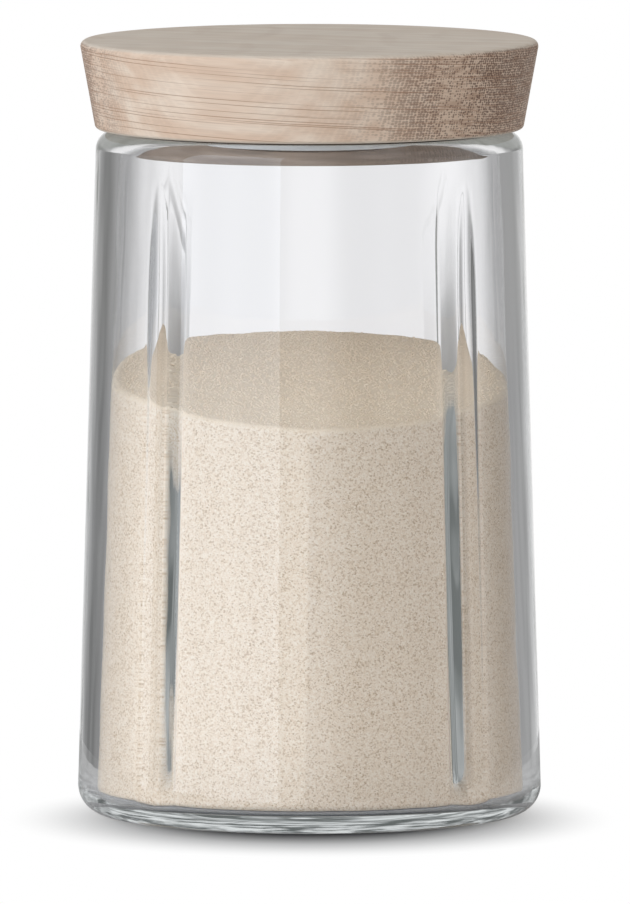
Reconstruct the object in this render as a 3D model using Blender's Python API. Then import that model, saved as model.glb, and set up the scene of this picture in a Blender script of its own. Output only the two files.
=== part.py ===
"""Storage jar: a clear glass body, a turned oak lid with a silicone seal, and dry contents.

Units are metres, with +Z up. The origin is the centre of the base, on the surface that the jar
stands on. The front is the -Y side, and angles round the jar are counted from it towards +X.
"""

import math

import bmesh
import bpy

# Glass, outer surface
GLASS_HEIGHT = 0.1589
HEEL_RADIUS = 0.0538          # the widest place, at the top of the rounded heel
SHOULDER_RADIUS = 0.0496      # at the foot of the rounded shoulder
HEEL_ROUNDING = 0.0066
SHOULDER_ROUNDING = 0.0043
CONTACT_WIDTH = 0.0060        # the flat ring that the jar stands on
BASE_RECESS = 0.0012          # how far the middle of the base is pushed up
BASE_RECESS_RAMP = 0.0040

# Glass, inner surface
WALL_AT_HEEL = 0.0041
WALL_AT_RIM = 0.0054
FLOOR_THICKNESS = 0.0048
FLOOR_ROUNDING = 0.0020
RIM_EDGE_ROUNDING = 0.0005

# Shallow grooves down the outside, each with a ridge behind it on the inside
GROOVE_COUNT = 4
FIRST_GROOVE_ANGLE = math.radians(45)
GROOVE_WIDTH = 0.0062
GROOVE_DEPTH = 0.00085
GROOVE_FADE = 1.5             # 1 for a round hollow, more for one with soft edges
GROOVE_TOP_MARGIN = 0.0045    # from the foot of the shoulder down to the groove's upper end
GROOVE_BOTTOM_MARGIN = 0.0005  # from the top of the heel up to the groove's lower end
GROOVE_TOP_END = 0.0300       # the length over which the groove fades and narrows
GROOVE_BOTTOM_END = 0.0060
RIDGE_WIDTH = 0.0114
RIDGE_HEIGHT = 0.00147
RIDGE_CROWN = 1.2             # 1 for a ridge like a roof, 2 for a round one
RIDGE_TOP_END = 0.0900        # the length over which the ridge fades, at its full width
RIDGE_BOTTOM_END = 0.0080     # down into the corner of the floor

# Oak lid: a disc that flares upwards, and a plug that drops into the mouth
LID_THICKNESS = 0.0205
LID_OVERHANG = 0.0002         # of the disc's lower edge past the glass shoulder
LID_FLARE = 0.0033
LID_TOP_ROUNDING = 0.0014
LID_BOTTOM_ROUNDING = 0.0010
PLUG_EDGE_ROUNDING = 0.0005
PLUG_GAP = 0.0006             # between the plug and the mouth, which the seal closes
LID_SEAT_GAP = 0.0006

# Silicone seal, in a groove round the plug
SEAL_HEIGHT = 0.0027
SEAL_SEAT_DEPTH = 0.0014
SEAL_ROUNDING = 0.0006
SEAL_FIT = 0.0003             # between the seal and its groove
SEAL_GAP = 0.0004             # between the seal and the mouth
SEAL_LAND_ABOVE = 0.0005      # of the plug, over the seal's groove
SEAL_LAND_BELOW = 0.0017

# Dry contents, banked up towards the back
HEADSPACE = 0.0453            # from the plug down to the highest of the contents
BANK_RISE = 0.0154            # from the lowest place at the front to the back
BANK_POWER = 1.4              # 1 for a level slope, more for one that steepens to the front
BANK_TURN = math.radians(4)   # of the lowest place from the front
MOUND_HEIGHT = 0.0010
CONTENTS_GAP = 0.0003

# Fineness of the faces
ARC_STEPS = 4
SMALL_ARC_STEPS = 2
PLAIN_WALL_STEPS = 10         # between two grooves
LID_SEGMENTS = 72
GROOVE_SHARES = (0, 0.3, 0.55, 0.8, 1)  # of the groove's half width
RIDGE_SHARES = (0.5, 1)                 # of the ridge's half width past the groove
END_SHARES = (0.35, 0.6, 0.8, 0.92, 1)  # of the length of an upper or lower end
STRAIGHT_WALL_SHARES = (0.5, 1)         # of the wall between the two ends
BANK_SHARES = (0.8, 0.6, 0.4, 0.2)      # of the contents' radius
SMOOTH_ANGLE = math.radians(30)
MERGE_DISTANCE = 0.000001

# Heights that the sizes above give
SHOULDER_FOOT = GLASS_HEIGHT - SHOULDER_ROUNDING
GROOVE_BOTTOM = HEEL_ROUNDING + GROOVE_BOTTOM_MARGIN
GROOVE_TOP = SHOULDER_FOOT - GROOVE_TOP_MARGIN
FLOOR_CORNER_TOP = FLOOR_THICKNESS + FLOOR_ROUNDING
RIDGE_BOTTOM = FLOOR_THICKNESS
LID_SEAT = GLASS_HEIGHT + LID_SEAT_GAP
SEAL_GROOVE_HEIGHT = SEAL_HEIGHT + 2 * SEAL_FIT
PLUG_LENGTH = SEAL_LAND_ABOVE + SEAL_GROOVE_HEIGHT + SEAL_LAND_BELOW
CONTENTS_BACK = LID_SEAT - PLUG_LENGTH - HEADSPACE
CONTENTS_FRONT = CONTENTS_BACK - BANK_RISE

# Angles across a groove and its ridge, at half the height
GROOVE_HALF_ANGLE = GROOVE_WIDTH / (HEEL_RADIUS + SHOULDER_RADIUS)
RIDGE_HALF_ANGLE = RIDGE_WIDTH / (HEEL_RADIUS - WALL_AT_HEEL + SHOULDER_RADIUS - WALL_AT_RIM)
GROOVE_PITCH = 2 * math.pi / GROOVE_COUNT


def clear_scene():
    for old in list(bpy.data.objects):
        bpy.data.objects.remove(old, do_unlink=True)


def new_material(name, colour, roughness, metallic=0.0, transmission=0.0, ior=1.5):
    material = bpy.data.materials.new(name)
    material.use_nodes = True
    shader = material.node_tree.nodes["Principled BSDF"]
    shader.inputs["Base Color"].default_value = (*colour, 1.0)
    shader.inputs["Roughness"].default_value = roughness
    shader.inputs["Metallic"].default_value = metallic
    shader.inputs["Transmission Weight"].default_value = transmission
    shader.inputs["IOR"].default_value = ior
    return material


def arc(centre_r, centre_z, radius, start, end, steps):
    """Points (r, z) of an arc, with its angles in degrees from outwards towards upwards."""
    points = []
    for i in range(steps + 1):
        angle = math.radians(start + (end - start) * i / steps)
        points.append((centre_r + radius * math.cos(angle), centre_z + radius * math.sin(angle)))
    return points


def add_object(name, bm, material):
    mesh = bpy.data.meshes.new(name)
    bm.to_mesh(mesh)
    bm.free()
    mesh.shade_smooth()
    mesh.set_sharp_from_angle(angle=SMOOTH_ANGLE)
    mesh.materials.append(material)
    piece = bpy.data.objects.new(name, mesh)
    bpy.context.collection.objects.link(piece)
    return piece


def turned(name, profile, closed, material):
    """A turned piece: a profile of (r, z) points spun once round the Z axis."""
    bm = bmesh.new()
    points = [bm.verts.new((r, 0, z)) for r, z in profile]
    edges = [bm.edges.new(pair) for pair in zip(points, points[1:])]
    if closed:
        edges.append(bm.edges.new((points[-1], points[0])))
    bmesh.ops.spin(bm, geom=points + edges, cent=(0, 0, 0), axis=(0, 0, 1),
                   angle=2 * math.pi, steps=LID_SEGMENTS, use_merge=True)
    bmesh.ops.remove_doubles(bm, verts=bm.verts, dist=MERGE_DISTANCE)
    bmesh.ops.recalc_face_normals(bm, faces=bm.faces)
    return add_object(name, bm, material)


def ringed(name, rings, material):
    """A solid skinned over rings of points, from its underside out, up and in to its top."""
    bm = bmesh.new()
    loops = [[bm.verts.new(point) for point in ring] for ring in rings]
    for lower, upper in zip(loops, loops[1:]):
        for i in range(len(lower)):
            bm.faces.new((lower[i - 1], lower[i], upper[i], upper[i - 1]))
    bm.faces.new(reversed(loops[0]))
    bm.faces.new(loops[-1])
    return add_object(name, bm, material)


def wall_angles():
    """Angles of the wall's points: close together on a groove and its ridge, then even."""
    across = [GROOVE_HALF_ANGLE * share for share in GROOVE_SHARES]
    across += [GROOVE_HALF_ANGLE + (RIDGE_HALF_ANGLE - GROOVE_HALF_ANGLE) * share
               for share in RIDGE_SHARES]
    across = [-angle for angle in reversed(across[1:])] + across
    plain = GROOVE_PITCH - 2 * RIDGE_HALF_ANGLE
    across += [RIDGE_HALF_ANGLE + plain * i / PLAIN_WALL_STEPS for i in range(1, PLAIN_WALL_STEPS)]
    return [FIRST_GROOVE_ANGLE + GROOVE_PITCH * k + angle
            for k in range(GROOVE_COUNT) for angle in across]


def groove_offset(angle):
    """Angle from the nearest groove's centre line."""
    turn = (angle - FIRST_GROOVE_ANGLE) / GROOVE_PITCH
    return abs(turn - round(turn)) * GROOVE_PITCH


def end_share(z, bottom, bottom_end, top_end):
    """How far a height lies into an end: 0 on the straight part, and 1 at the ends' tips."""
    past_top = max(0.0, z - GROOVE_TOP + top_end) / top_end
    past_bottom = max(0.0, bottom + bottom_end - z) / bottom_end
    return min(1.0, past_top ** 2 + past_bottom ** 2)


def cone_radius(z):
    """Radius of the tapered wall outside, before its ends are rounded."""
    up_share = (z - HEEL_ROUNDING) / (SHOULDER_FOOT - HEEL_ROUNDING)
    return HEEL_RADIUS + (SHOULDER_RADIUS - HEEL_RADIUS) * up_share


def plain_bore_radius(z):
    """Radius of the inside of the wall, without its ridges."""
    up_share = (z - HEEL_ROUNDING) / (GLASS_HEIGHT - HEEL_ROUNDING)
    return cone_radius(z) - WALL_AT_HEEL - (WALL_AT_RIM - WALL_AT_HEEL) * up_share


def outer_radius(angle, z):
    """Radius of the outside of the wall, with its grooves, whose ends are rounded."""
    across = groove_offset(angle) / GROOVE_HALF_ANGLE
    hollow = 1 - across ** 2 - end_share(z, GROOVE_BOTTOM, GROOVE_BOTTOM_END, GROOVE_TOP_END)
    return cone_radius(z) - GROOVE_DEPTH * max(0.0, hollow) ** GROOVE_FADE


def ridge_height(angle, z):
    """How far a ridge stands inwards. It keeps its width and fades at both ends."""
    across = min(1.0, groove_offset(angle) / RIDGE_HALF_ANGLE)
    ends = end_share(z, RIDGE_BOTTOM, RIDGE_BOTTOM_END, RIDGE_TOP_END)
    return RIDGE_HEIGHT * (1 - across ** RIDGE_CROWN) * (1 - ends)


def bore_radius(angle, z):
    """Radius of the inside of the wall, with its ridges."""
    return plain_bore_radius(z) - ridge_height(angle, z)


def at(angle, radius, z):
    return (radius * math.sin(angle), -radius * math.cos(angle), z)


def round_rings(profile):
    return [[at(angle, r, z) for angle in wall_angles()] for r, z in profile]


def ridged_rings(profile):
    """Rings on the inside of the glass, or just within it, which the ridges press in."""
    return [[at(angle, r - ridge_height(angle, z), z) for angle in wall_angles()]
            for r, z in profile]


def wall_heights(bottom, bottom_end, top_end):
    """Heights on a wall, close together where a groove or a ridge fades."""
    low = bottom + bottom_end
    high = GROOVE_TOP - top_end
    heights = [low - bottom_end * share for share in reversed(END_SHARES)] + [low]
    heights += [low + (high - low) * share for share in STRAIGHT_WALL_SHARES]
    return heights + [high + top_end * share for share in END_SHARES]


def bore_heights():
    """Heights on the inside of the wall, above the floor's corner."""
    heights = wall_heights(RIDGE_BOTTOM, RIDGE_BOTTOM_END, RIDGE_TOP_END)
    return [z for z in heights if z > FLOOR_CORNER_TOP]


def glass_jar():
    """One closed wall: the base, the outside up to the rim, and the inside down to the floor."""
    heel_centre = HEEL_RADIUS - HEEL_ROUNDING
    contact_inner = heel_centre - CONTACT_WIDTH
    shoulder_centre = SHOULDER_RADIUS - SHOULDER_ROUNDING
    mouth = plain_bore_radius(GLASS_HEIGHT)
    corner = plain_bore_radius(FLOOR_CORNER_TOP)

    rings = round_rings([(contact_inner - BASE_RECESS_RAMP, BASE_RECESS), (contact_inner, 0)])
    rings += round_rings(arc(heel_centre, HEEL_ROUNDING, HEEL_ROUNDING, -90, 0, ARC_STEPS))
    for z in wall_heights(GROOVE_BOTTOM, GROOVE_BOTTOM_END, GROOVE_TOP_END):
        rings.append([at(angle, outer_radius(angle, z), z) for angle in wall_angles()])
    rings += round_rings(arc(shoulder_centre, SHOULDER_FOOT, SHOULDER_ROUNDING, 0, 90, ARC_STEPS))
    rings += round_rings(arc(mouth + RIM_EDGE_ROUNDING, GLASS_HEIGHT - RIM_EDGE_ROUNDING,
                             RIM_EDGE_ROUNDING, 90, 180, SMALL_ARC_STEPS))
    rings += ridged_rings([(plain_bore_radius(z), z) for z in reversed(bore_heights())])
    rings += ridged_rings(arc(corner - FLOOR_ROUNDING, FLOOR_CORNER_TOP, FLOOR_ROUNDING,
                              0, -90, ARC_STEPS))

    clear_glass = new_material("clear_glass", (0.94, 0.96, 0.95), 0.02, transmission=1.0, ior=1.52)
    return ringed("glass_jar", rings, clear_glass)


def dry_contents():
    """The heap inside: it follows the floor, the wall and its ridges, under a banked surface."""
    floor = FLOOR_THICKNESS + CONTENTS_GAP
    rounding = FLOOR_ROUNDING - CONTENTS_GAP
    corner = plain_bore_radius(FLOOR_CORNER_TOP) - FLOOR_ROUNDING

    def surface(angle, radius_share):
        forward = radius_share * math.cos(angle - BANK_TURN)
        fallen = BANK_RISE * ((1 + forward) / 2) ** BANK_POWER
        return CONTENTS_BACK - fallen + MOUND_HEIGHT * (1 - radius_share ** 2)

    def edge(angle):
        z = surface(angle, 1)
        return bore_radius(angle, z) - CONTENTS_GAP, z

    rings = ridged_rings(arc(corner, floor + rounding, rounding, -90, 0, ARC_STEPS))
    filled = [z for z in bore_heights() if z < CONTENTS_FRONT - CONTENTS_GAP]
    rings += ridged_rings([(plain_bore_radius(z) - CONTENTS_GAP, z) for z in filled])
    rings.append([at(angle, *edge(angle)) for angle in wall_angles()])
    for share in BANK_SHARES:
        rings.append([at(angle, edge(angle)[0] * share, surface(angle, share))
                      for angle in wall_angles()])

    pale_granules = new_material("pale_granules", (0.72, 0.62, 0.50), 0.9)
    return ringed("dry_contents", rings, pale_granules)


def oak_lid(seat):
    """The disc and its plug, turned in one piece. Heights are counted from the lid's seat."""
    lower = SHOULDER_RADIUS + LID_OVERHANG
    upper = lower + LID_FLARE
    plug = plain_bore_radius(GLASS_HEIGHT) - PLUG_GAP
    groove_top = -SEAL_LAND_ABOVE
    groove_bottom = groove_top - SEAL_GROOVE_HEIGHT
    lean = math.degrees(math.atan2(LID_FLARE, LID_THICKNESS))

    profile = [(0, -PLUG_LENGTH)]
    profile += arc(plug - PLUG_EDGE_ROUNDING, -PLUG_LENGTH + PLUG_EDGE_ROUNDING,
                   PLUG_EDGE_ROUNDING, -90, 0, SMALL_ARC_STEPS)
    profile += [(plug, groove_bottom), (plug - SEAL_SEAT_DEPTH, groove_bottom)]
    profile += [(plug - SEAL_SEAT_DEPTH, groove_top), (plug, groove_top), (plug, 0)]
    profile += arc(lower - LID_BOTTOM_ROUNDING, LID_BOTTOM_ROUNDING, LID_BOTTOM_ROUNDING,
                   -90, -lean, ARC_STEPS)
    profile += arc(upper - LID_TOP_ROUNDING, LID_THICKNESS - LID_TOP_ROUNDING, LID_TOP_ROUNDING,
                   -lean, 90, ARC_STEPS)
    profile += [(0, LID_THICKNESS)]

    pale_oak = new_material("pale_oak", (0.66, 0.53, 0.42), 0.6)
    lid = turned("oak_lid", profile, False, pale_oak)
    lid.parent = seat
    return lid


def lid_seal(seat):
    """The soft ring round the plug, rounded where it meets the mouth."""
    top = -SEAL_LAND_ABOVE - SEAL_FIT
    bottom = top - SEAL_HEIGHT
    mouth = plain_bore_radius(GLASS_HEIGHT)
    inner = mouth - PLUG_GAP - SEAL_SEAT_DEPTH + SEAL_FIT
    outer = mouth - SEAL_GAP

    profile = [(inner, top), (inner, bottom)]
    profile += arc(outer - SEAL_ROUNDING, bottom + SEAL_ROUNDING, SEAL_ROUNDING,
                   -90, 0, SMALL_ARC_STEPS)
    profile += arc(outer - SEAL_ROUNDING, top - SEAL_ROUNDING, SEAL_ROUNDING,
                   0, 90, SMALL_ARC_STEPS)

    clear_silicone = new_material("clear_silicone", (0.80, 0.80, 0.78), 0.4, transmission=0.6,
                                  ior=1.41)
    seal = turned("lid_seal", profile, True, clear_silicone)
    seal.parent = seat
    return seal


def main():
    clear_scene()
    glass_jar()
    dry_contents()
    seat = bpy.data.objects.new("lid_seat", None)
    seat.location = (0, 0, LID_SEAT)
    bpy.context.collection.objects.link(seat)
    oak_lid(seat)
    lid_seal(seat)
    bpy.context.view_layer.update()


main()
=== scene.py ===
"""A storage jar in a plain studio: clear glass, a turned oak lid, its seal and dry contents.

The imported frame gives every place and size. Lengths are metres, +Z is up, the front is the -Y
side, and angles round the jar are counted from the front towards +X.
"""

import math

import bmesh
import bpy
import numpy as np
from bpy.props import FloatProperty, IntProperty, PointerProperty, StringProperty
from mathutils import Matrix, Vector


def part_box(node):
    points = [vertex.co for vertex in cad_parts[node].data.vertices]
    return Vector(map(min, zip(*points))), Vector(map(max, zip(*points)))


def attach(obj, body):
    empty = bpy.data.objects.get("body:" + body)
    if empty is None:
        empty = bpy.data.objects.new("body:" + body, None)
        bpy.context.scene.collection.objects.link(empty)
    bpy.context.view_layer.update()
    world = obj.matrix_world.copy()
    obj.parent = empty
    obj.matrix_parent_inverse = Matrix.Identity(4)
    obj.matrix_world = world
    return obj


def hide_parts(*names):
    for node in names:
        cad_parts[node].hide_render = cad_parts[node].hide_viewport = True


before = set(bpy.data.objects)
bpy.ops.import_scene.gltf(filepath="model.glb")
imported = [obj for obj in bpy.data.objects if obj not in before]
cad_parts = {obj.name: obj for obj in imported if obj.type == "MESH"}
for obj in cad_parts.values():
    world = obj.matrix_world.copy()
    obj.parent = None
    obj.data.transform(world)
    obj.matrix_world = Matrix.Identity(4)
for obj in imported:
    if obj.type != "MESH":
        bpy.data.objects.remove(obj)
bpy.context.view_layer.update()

bl_info = {
    "name": "Storage jar with an oak lid",
    "version": (1, 0, 0),
    "blender": (4, 5, 0),
    "location": "3D View > Sidebar > Storage jar",
    "description": "Dresses the packed jar with glass, oak, silicone and dry contents",
    "category": "Add Mesh",
}

IMAGE_HEIGHT = 904            # of the photograph's frame, in pixels
SENSOR_WIDTH = 36.0           # of the frame's long side, in Blender's millimetres

# Places that the frame gives
GLASS_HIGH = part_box("glass_jar")[1]
LID_LOW, LID_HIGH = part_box("oak_lid")
FILL_LOW, FILL_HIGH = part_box("dry_contents")

# Names of the attributes that the trees and materials read
SIDE = "wall_side"            # which side of the wall a point is on
TONE = "grain_tone"
ELSEWHERE, OUTSIDE, INSIDE, HEEL = range(4)

MILLIMETRE = 0.001

# Steps of the rounded edges, and segments of the turned pieces
RECESS_STEPS = 6
HEEL_STEPS = 20
SHOULDER_STEPS = 16
RIM_STEPS = 5
FLOOR_STEPS = 12
PLUG_STEPS = 5
LID_BOTTOM_STEPS = 7
LID_TOP_STEPS = 9
SEAL_STEPS = 6
FILL_STEPS = 10
FILL_RINGS = 24               # in the surface of the contents
LID_SEGMENTS = 240
SEAL_SEGMENTS = 200
CARD_SEGMENTS = 96
SHARP_ANGLE = math.radians(35)
MERGE_DISTANCE = 0.01 * MILLIMETRE
LOOSE_WIDTH = 1.3             # of a loose grain, in grain sizes

# Fineness of the noise patterns, in blobs per metre before they are drawn out
GLASS_WAVES = 90.0            # 11 mm wide and 56 mm high
BASE_STREAKS = 110.0          # 9 mm wide and 1.1 mm high
WALL_STREAKS = 320.0          # 3 mm wide and 39 mm high
FIBRE_DRIFT = 50.0            # 20 mm across the fibres and 100 mm along them
WOOD_TONES = 220.0            # 4.5 mm across and 38 mm along
FINE_RAYS = 1500.0            # 0.7 mm high; real ones are finer, and this coarse they show
LATHE_LINES = 60.0            # 17 mm round and 0.6 mm high
SILICONE_HAZE = 900.0         # 1.1 mm
GRANULE_PATCHES = 260.0       # 4 mm

# Kinds of node that are used most
MATHS = "ShaderNodeMath"
VECTOR = "ShaderNodeVectorMath"
RANGE = "ShaderNodeMapRange"
MIX = "ShaderNodeMix"
RANDOM = "FunctionNodeRandomValue"
PRINCIPLED = "ShaderNodeBsdfPrincipled"
NOISE = "ShaderNodeTexNoise"
OUTPUT = "ShaderNodeOutputMaterial"

# Settings that are used most. A mix of colours takes sockets 6 and 7 and gives output 2, and a
# mix of numbers takes sockets 2 and 3 and gives output 0
COLOURS = {"data_type": "RGBA"}
SMOOTH = {"interpolation_type": "SMOOTHSTEP"}


def length_property(name, description, default):
    return FloatProperty(name=name, description=description, default=default, min=0.0,
                         subtype="DISTANCE", unit="LENGTH", precision=5)


def angle_property(name, description, degrees):
    return FloatProperty(name=name, description=description, default=math.radians(degrees),
                         subtype="ANGLE", unit="ROTATION")


def colour_property(name, description, default):
    return StringProperty(name=name, description=description + ", as sRGB hex", default=default)


class GlassSettings(bpy.types.PropertyGroup):
    """Sizes and colour of the glass body."""

    heel_rounding: length_property("Heel rounding", "Radius of the rounded heel", 0.0066)
    shoulder_radius: length_property("Shoulder radius", "Radius at the shoulder's foot", 0.0496)
    shoulder_rounding: length_property("Shoulder rounding", "Radius of the shoulder", 0.0043)
    contact_width: length_property("Contact width", "Flat ring that the jar stands on", 0.0060)
    base_recess: length_property("Base recess", "How far the base is pushed up", 0.0012)
    base_recess_ramp: length_property("Base recess ramp", "Width of the recess's slope", 0.0040)
    wall_at_heel: length_property("Wall at heel", "Thickness of the wall at the heel", 0.0041)
    wall_at_rim: length_property("Wall at rim", "Thickness of the wall at the rim", 0.0054)
    floor_thickness: length_property("Floor thickness", "Thickness of the base", 0.0048)
    floor_rounding: length_property("Floor rounding", "Inner corner of the floor", 0.0020)
    rim_rounding: length_property("Rim rounding", "Inner edge of the rim", 0.0005)
    groove_count: IntProperty(name="Grooves", description="Number of grooves", default=4, min=1)
    first_groove: angle_property("First groove", "Angle of the first groove", 45)
    groove_width: length_property("Groove width", "Width of a groove", 0.0062)
    groove_depth: length_property("Groove depth", "Depth of a groove", 0.00085)
    groove_fade: FloatProperty(name="Groove fade", default=1.5, min=0.5,
                               description="How softly a groove meets the wall")
    groove_top_margin: length_property("Groove top margin", "Plain wall above a groove", 0.0045)
    groove_bottom_margin: length_property("Groove bottom margin",
                                          "Plain wall under a groove", 0.0005)
    groove_top_end: length_property("Groove top end", "Length of its upper end", 0.0300)
    groove_bottom_end: length_property("Groove bottom end", "Length of its lower end", 0.0060)
    ridge_width: length_property("Ridge width", "Of the ridge inside, behind a groove", 0.0114)
    ridge_height: length_property("Ridge height", "Height of the ridge inside", 0.00147)
    ridge_crown: FloatProperty(name="Ridge crown", default=1.2, min=1.0,
                               description="1 for a ridge like a roof, 2 for a round one")
    ridge_top_end: length_property("Ridge top end", "Height over which a ridge grows", 0.0900)
    ridge_bottom_end: length_property("Ridge bottom end", "Length of its lower end", 0.0080)
    outer_waviness: length_property("Outer waviness", "Depth of slow waves outside", 0.00004)
    inner_waviness: length_property("Inner waviness", "Depth of slow waves inside", 0.00012)
    heel_waviness: length_property("Heel waviness", "Depth of slow waves in the heel", 0.0002)
    tint: colour_property("Tint", "Colour of the glass", "fcfcfd")
    # The three leak colours are a painted glow in the glass, not lamp light
    dark_leak: colour_property("Dark leak", "Darker light caught in the wall", "616665")
    pale_leak: colour_property("Pale leak", "Paler light caught in the wall", "dfe3e3")
    neck_leak: colour_property("Neck leak", "Light caught in the neck", "949691")


class LidSettings(bpy.types.PropertyGroup):
    """Sizes, grain and colours of the oak lid."""

    seat_gap: length_property("Seat gap", "Between the lid and the rim", 0.0006)
    overhang: length_property("Overhang", "Lower edge past the glass", 0.0002)
    flare: length_property("Flare", "How far the lid widens upwards", 0.0033)
    top_rounding: length_property("Top rounding", "Radius of the top edge", 0.0014)
    bottom_rounding: length_property("Bottom rounding", "Radius of the lower edge", 0.0010)
    plug_rounding: length_property("Plug rounding", "Radius of the plug's edge", 0.0005)
    plug_gap: length_property("Plug gap", "Between the plug and the mouth", 0.0006)
    land_above: length_property("Land above", "Plug above the seal's groove", 0.0005)
    fibre_angle: angle_property("Fibre angle", "Direction that the fibres point in", 66)
    fibre_slope: angle_property("Fibre slope", "How far the fibres point down", 3)
    ring_spacing: length_property("Ring spacing", "Width of a year ring", 0.0025)
    ray_spacing: length_property("Ray spacing", "Height between two broad rays", 0.0015)
    pore_spacing: length_property("Pore spacing", "Between two pores", 0.00062)
    pale_colour: colour_property("Pale wood", "Colour of the late wood", "e8d5c1")
    mid_colour: colour_property("Brown wood", "Colour of the early wood", "d8bca4")
    # Painted shade: the top face is greyer than the sides because of how the light falls on it
    top_shade_colour: colour_property("Painted top shade", "Colour of the painted shade on the top face", "d4ccbe")
    pore_colour: colour_property("Pores", "Colour in the pores", "5c3c2c")
    ray_colour: colour_property("Rays", "Colour of the broad rays", "a07a60")
    # Painted shade: the plug under the lid is darker, for the shade that it stands in
    plug_shade_colour: colour_property("Plug", "Colour of the painted shade on the plug", "806e5f")
    end_colour: colour_property("End grain", "Colour of the cut ends of the fibres", "dcc1aa")


class SealSettings(bpy.types.PropertyGroup):
    """Sizes and colour of the silicone seal."""

    rounding: length_property("Rounding", "Radius of the lip", 0.0006)
    height: length_property("Height", "Height of the ring", 0.0027)
    fit: length_property("Fit", "Between the seal and its groove", 0.0003)
    seat_depth: length_property("Seat depth", "Depth of the groove in the plug", 0.0014)
    grip: length_property("Grip", "How far the seal is pressed against the mouth", 0.00005)
    colour: colour_property("Colour", "Colour of the silicone", "f2f2f0")


class FillSettings(bpy.types.PropertyGroup):
    """Sizes, grain and colours of the dry contents."""

    gap: length_property("Gap", "Between the glass and the contents", 0.0003)
    bank_rise: length_property("Bank rise", "Height from the front to the back", 0.0154)
    bank_power: FloatProperty(name="Bank power", default=1.4, min=1.0,
                              description="1 for a level slope, more for one that steepens")
    bank_turn: angle_property("Bank turn", "Direction of the lowest place", 4)
    mound_height: length_property("Mound height", "Height of the mound", 0.0010)
    ripple: length_property("Ripple", "Depth of the uneven surface", 0.0006)
    grain_size: length_property("Grain size", "Width of one grain", 0.0003)
    grain_count: IntProperty(name="Grains", description="Loose grains on top", default=9000)
    seed: IntProperty(name="Seed", description="Start of the random places", default=7)
    pale_colour: colour_property("Pale grains", "Colour of most grains", "fbeedc")
    brown_colour: colour_property("Brown grains", "Colour of the darker grains", "edd9c0")
    # This colour is also painted light on the top of the packed grains
    loose_and_lit_top_colour: colour_property("Loose grains", "Colour of the loose grains on top", "ffedd2")
    speck_colour: colour_property("Specks", "Colour of the few dark grains", "cbb192")


class StageSettings(bpy.types.PropertyGroup):
    """Camera, lamp, world and floor."""

    camera_distance: length_property("Camera distance", "From the jar's axis", 4.8)
    camera_height: length_property("Camera height", "Above the floor", 0.525)
    camera_angle: angle_property("Camera angle", "Direction that the camera stands in", -1.1)
    aim_height: length_property("Aim height", "Height that the camera looks at", 0.0840)
    aim_aside: length_property("Aim aside", "Right of the jar's axis", 0.0013)
    pixels_per_metre: FloatProperty(name="Pixels per metre", default=4305.0,
                                    description="Scale of the image at the jar's axis")
    key_angle: angle_property("Key angle", "Direction of the large soft lamp", -44)
    key_distance: length_property("Key distance", "From the jar's axis", 1.2)
    key_width: length_property("Key width", "Width of the large soft lamp", 1.26)
    key_height: length_property("Key height", "Height of the large soft lamp", 1.4)
    key_foot: FloatProperty(name="Key foot", description="Height of the lamp's lower edge",
                            default=-0.15, subtype="DISTANCE", unit="LENGTH")
    key_radiance: FloatProperty(name="Key radiance", description="Brightness of its face",
                                default=2.15, min=0.0)
    key_colour: colour_property("Key colour", "Colour of the soft lamp's cool light", "ecf4ff")
    gleam: FloatProperty(name="Gleam", default=2.6, min=0.0,
                         description="How much brighter its reflection is than its light")
    gleam_colour: colour_property("Gleam colour", "Colour of its reflection", "c6ddff")
    ambient: FloatProperty(name="Ambient", description="Brightness of the world on surfaces",
                           default=0.54, min=0.0)
    floor_radius: length_property("Floor radius", "Radius of the pale floor", 0.20)
    shadow_shift: length_property("Shadow shift", "How far the shadow lies in front", 0.0155)
    shadow_near: length_property("Shadow near", "Where the shadow begins to fade", 0.034)
    shadow_far: length_property("Shadow far", "Where the shadow has gone", 0.084)
    shadow_narrowness: FloatProperty(name="Shadow narrowness", default=1.17, min=0.1,
                                     description="Of the shadow, depth to width")
    # Painted shadow under the jar, seen by the camera only
    contact_near: length_property("Contact near", "Where the dark under the jar ends", 0.028)
    contact_far: length_property("Contact far", "Where it has faded to the shadow", 0.054)
    card_colour: colour_property("Card", "Colour of the floor under the shadow", "c8c8c8")


class JarSettings(bpy.types.PropertyGroup):
    """All the settings of the jar's pieces and stage."""

    glass: PointerProperty(type=GlassSettings)
    lid: PointerProperty(type=LidSettings)
    seal: PointerProperty(type=SealSettings)
    fill: PointerProperty(type=FillSettings)
    stage: PointerProperty(type=StageSettings)


def linear(hex_colour):
    """An sRGB hex colour as linear red, green, blue and alpha."""
    values = [int(hex_colour[i:i + 2], 16) / 255 for i in (0, 2, 4)]
    return tuple(v / 12.92 if v <= 0.04045 else ((v + 0.055) / 1.055) ** 2.4
                 for v in values) + (1.0,)


def add_node(tree, kind, inputs=None, **settings):
    """Adds a node and gives its outputs. An input is a value, or another node's output."""
    node = tree.nodes.new(kind)
    node.location = (len(tree.nodes) * 40, -(len(tree.nodes) % 12) * 60)
    for name, value in settings.items():
        setattr(node, name, value)
    for key, value in (inputs or {}).items():
        if isinstance(value, bpy.types.NodeSocket):
            tree.links.new(value, node.inputs[key])
        else:
            node.inputs[key].default_value = value
    return node.outputs


def sharp_rays(tree, path):
    """1 for rays that a gloss mirrors or that glass lets through."""
    return add_node(tree, MATHS, {0: path["Is Glossy Ray"], 1: path["Is Transmission Ray"]},
                    operation="MAXIMUM")[0]


def new_material(name):
    """An empty material with its tree."""
    material = bpy.data.materials.new(name)
    material.use_nodes = True
    material.node_tree.nodes.clear()
    return material, material.node_tree


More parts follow.
